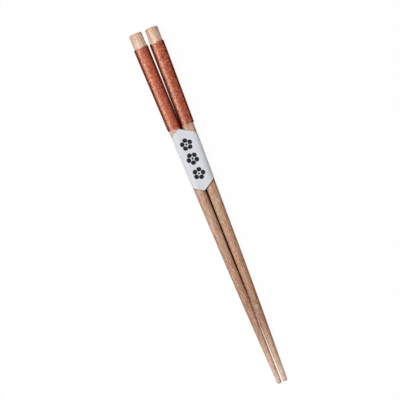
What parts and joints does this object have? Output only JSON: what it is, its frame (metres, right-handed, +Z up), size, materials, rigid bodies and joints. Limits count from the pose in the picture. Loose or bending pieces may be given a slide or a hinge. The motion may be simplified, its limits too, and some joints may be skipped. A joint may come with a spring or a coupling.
{
  "type": "wooden chopsticks",
  "caption": "Pair of round tapered wooden chopsticks, thread bound on the handles and held side by side by a pointed paper band.",
  "frame": {"origin": "on the surface the pair lies on, under the middle of its box", "axes": "+X along the pair from the butts to the tips, +Y from the left stick to the right one, +Z up"},
  "size_m": [0.225, 0.019, 0.0095],
  "materials": {
    "stick_wood": "satin",
    "binding_thread": "lustrous wound thread",
    "band_paper": "smooth matt"
  },
  "bodies": {
    "root": {"left_stick": "stick_wood", "right_stick": "stick_wood", "left_thread_wrap": "binding_thread", "right_thread_wrap": "binding_thread", "paper_band": "band_paper"}
  },
  "joints": []
}
